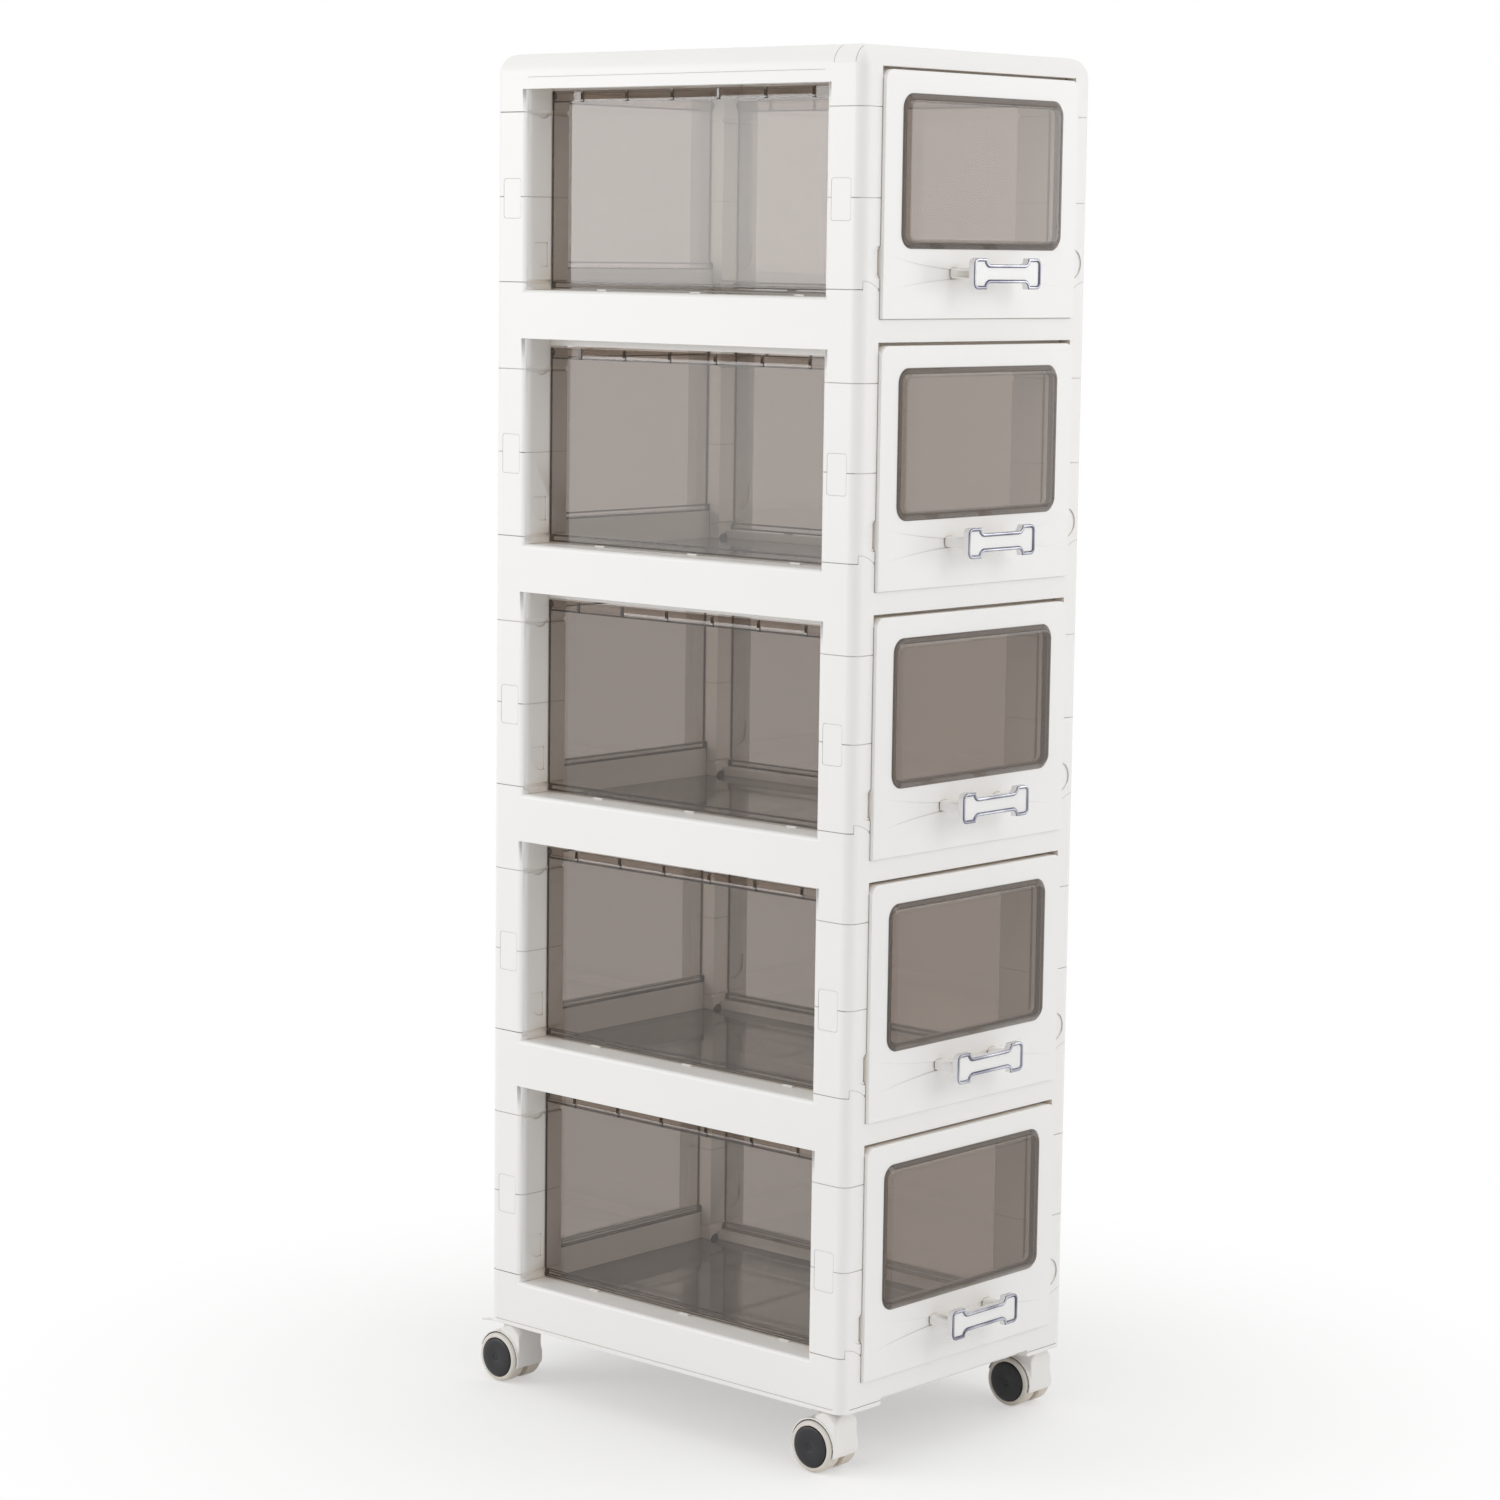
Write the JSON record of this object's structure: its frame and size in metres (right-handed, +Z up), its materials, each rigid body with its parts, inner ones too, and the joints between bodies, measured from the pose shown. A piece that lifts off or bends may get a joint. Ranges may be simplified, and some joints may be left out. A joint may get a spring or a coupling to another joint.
{
  "type": "folding storage tower",
  "caption": "Tall folding storage tower on casters, with white frames, smoke side panels and a lift-up front door with a window and bar handle on each tier.",
  "frame": {"origin": "centre of the overall box on the floor plane, under the tower", "axes": "+Z up from the floor, the doors face -Y, the side openings face -X and +X"},
  "size_m": [0.344, 0.5259, 1.3385],
  "materials": {
    "frame_white": "fine satin moulded polypropylene",
    "door_white": "satin moulded, a little glossier than the frame",
    "handle_white": "gloss face with a silver-grey border",
    "window_smoke": "gloss smoke clear plastic",
    "panel_smoke": "gloss smoke clear plastic",
    "shelf_smoke": "gloss dark smoke plastic",
    "hood_white": "smooth moulded",
    "wheel": "light tread ring and black hub cap"
  },
  "bodies": {
    "root": {"base_frame": "frame_white", "top_frame": "frame_white", "knee_hinges": "frame_white", "tier_frame_1": "frame_white", "tier_frame_2": "frame_white", "tier_frame_3": "frame_white", "tier_frame_4": "frame_white", "shelf_1": "shelf_smoke", "shelf_2": "shelf_smoke", "shelf_3": "shelf_smoke", "shelf_4": "shelf_smoke", "shelf_5": "shelf_smoke", "back_panel_1": "panel_smoke", "back_panel_2": "panel_smoke", "back_panel_3": "panel_smoke", "back_panel_4": "panel_smoke", "back_panel_5": "panel_smoke", "lower_posts_1": "frame_white", "lower_posts_2": "frame_white", "lower_posts_3": "frame_white", "lower_posts_4": "frame_white", "lower_posts_5": "frame_white", "upper_posts_1": "frame_white", "upper_posts_2": "frame_white", "upper_posts_3": "frame_white", "upper_posts_4": "frame_white", "upper_posts_5": "frame_white"},
    "door_1": {"door_1": "door_white", "door_window_1": "window_smoke", "door_handle_1": "handle_white"},
    "door_2": {"door_2": "door_white", "door_window_2": "window_smoke", "door_handle_2": "handle_white"},
    "door_3": {"door_3": "door_white", "door_window_3": "window_smoke", "door_handle_3": "handle_white"},
    "door_4": {"door_4": "door_white", "door_window_4": "window_smoke", "door_handle_4": "handle_white"},
    "door_5": {"door_5": "door_white", "door_window_5": "window_smoke", "door_handle_5": "handle_white"},
    "left_panel_1": {"left_panel_1": "panel_smoke"},
    "right_panel_1": {"right_panel_1": "panel_smoke"},
    "left_panel_2": {"left_panel_2": "panel_smoke"},
    "right_panel_2": {"right_panel_2": "panel_smoke"},
    "left_panel_3": {"left_panel_3": "panel_smoke"},
    "right_panel_3": {"right_panel_3": "panel_smoke"},
    "left_panel_4": {"left_panel_4": "panel_smoke"},
    "right_panel_4": {"right_panel_4": "panel_smoke"},
    "left_panel_5": {"left_panel_5": "panel_smoke"},
    "right_panel_5": {"right_panel_5": "panel_smoke"},
    "caster_1": {"caster_hood_1": "hood_white"},
    "wheels_1": {"caster_wheels_1": "wheel"},
    "caster_2": {"caster_hood_2": "hood_white"},
    "wheels_2": {"caster_wheels_2": "wheel"},
    "caster_3": {"caster_hood_3": "hood_white"},
    "wheels_3": {"caster_wheels_3": "wheel"},
    "caster_4": {"caster_hood_4": "hood_white"},
    "wheels_4": {"caster_wheels_4": "wheel"}
  },
  "joints": [
    {"name": "door_1_lift", "type": "hinge", "parent": "root", "child": "door_1", "pos_m": [0, -0.22525, 0.309], "axis": [-1, 0, 0], "range_deg": [0, 100]},
    {"name": "door_2_lift", "type": "hinge", "parent": "root", "child": "door_2", "pos_m": [0, -0.22525, 0.559], "axis": [-1, 0, 0], "range_deg": [0, 100]},
    {"name": "door_3_lift", "type": "hinge", "parent": "root", "child": "door_3", "pos_m": [0, -0.22525, 0.809], "axis": [-1, 0, 0], "range_deg": [0, 100]},
    {"name": "door_4_lift", "type": "hinge", "parent": "root", "child": "door_4", "pos_m": [0, -0.22525, 1.059], "axis": [-1, 0, 0], "range_deg": [0, 100]},
    {"name": "door_5_lift", "type": "hinge", "parent": "root", "child": "door_5", "pos_m": [0, -0.22525, 1.309], "axis": [-1, 0, 0], "range_deg": [0, 100]},
    {"name": "left_panel_1_swing", "type": "hinge", "parent": "root", "child": "left_panel_1", "pos_m": [-0.134, 0.00975, 0.298], "axis": [0, -1, 0], "range_deg": [0, 80]},
    {"name": "right_panel_1_swing", "type": "hinge", "parent": "root", "child": "right_panel_1", "pos_m": [0.134, 0.00975, 0.298], "axis": [0, -1, 0], "range_deg": [-80, 0]},
    {"name": "left_panel_2_swing", "type": "hinge", "parent": "root", "child": "left_panel_2", "pos_m": [-0.134, 0.00975, 0.548], "axis": [0, -1, 0], "range_deg": [0, 80]},
    {"name": "right_panel_2_swing", "type": "hinge", "parent": "root", "child": "right_panel_2", "pos_m": [0.134, 0.00975, 0.548], "axis": [0, -1, 0], "range_deg": [-80, 0]},
    {"name": "left_panel_3_swing", "type": "hinge", "parent": "root", "child": "left_panel_3", "pos_m": [-0.134, 0.00975, 0.798], "axis": [0, -1, 0], "range_deg": [0, 80]},
    {"name": "right_panel_3_swing", "type": "hinge", "parent": "root", "child": "right_panel_3", "pos_m": [0.134, 0.00975, 0.798], "axis": [0, -1, 0], "range_deg": [-80, 0]},
    {"name": "left_panel_4_swing", "type": "hinge", "parent": "root", "child": "left_panel_4", "pos_m": [-0.134, 0.00975, 1.048], "axis": [0, -1, 0], "range_deg": [0, 80]},
    {"name": "right_panel_4_swing", "type": "hinge", "parent": "root", "child": "right_panel_4", "pos_m": [0.134, 0.00975, 1.048], "axis": [0, -1, 0], "range_deg": [-80, 0]},
    {"name": "left_panel_5_swing", "type": "hinge", "parent": "root", "child": "left_panel_5", "pos_m": [-0.134, 0.00975, 1.298], "axis": [0, -1, 0], "range_deg": [0, 80]},
    {"name": "right_panel_5_swing", "type": "hinge", "parent": "root", "child": "right_panel_5", "pos_m": [0.134, 0.00975, 1.298], "axis": [0, -1, 0], "range_deg": [-80, 0]},
    {"name": "caster_1_swivel", "type": "hinge", "parent": "root", "child": "caster_1", "pos_m": [-0.15, -0.20325, 0.062], "axis": [0, 0, 1], "continuous": true},
    {"name": "wheels_1_roll", "type": "hinge", "parent": "caster_1", "child": "wheels_1", "pos_m": [-0.15, -0.19025, 0.025], "axis": [1, 0, 0], "continuous": true},
    {"name": "caster_2_swivel", "type": "hinge", "parent": "root", "child": "caster_2", "pos_m": [0.15, -0.20325, 0.062], "axis": [0, 0, 1], "continuous": true},
    {"name": "wheels_2_roll", "type": "hinge", "parent": "caster_2", "child": "wheels_2", "pos_m": [0.15, -0.19025, 0.025], "axis": [1, 0, 0], "continuous": true},
    {"name": "caster_3_swivel", "type": "hinge", "parent": "root", "child": "caster_3", "pos_m": [-0.15, 0.22275, 0.062], "axis": [0, 0, 1], "continuous": true},
    {"name": "wheels_3_roll", "type": "hinge", "parent": "caster_3", "child": "wheels_3", "pos_m": [-0.15, 0.23575, 0.025], "axis": [1, 0, 0], "continuous": true},
    {"name": "caster_4_swivel", "type": "hinge", "parent": "root", "child": "caster_4", "pos_m": [0.15, 0.22275, 0.062], "axis": [0, 0, 1], "continuous": true},
    {"name": "wheels_4_roll", "type": "hinge", "parent": "caster_4", "child": "wheels_4", "pos_m": [0.15, 0.23575, 0.025], "axis": [1, 0, 0], "continuous": true}
  ]
}
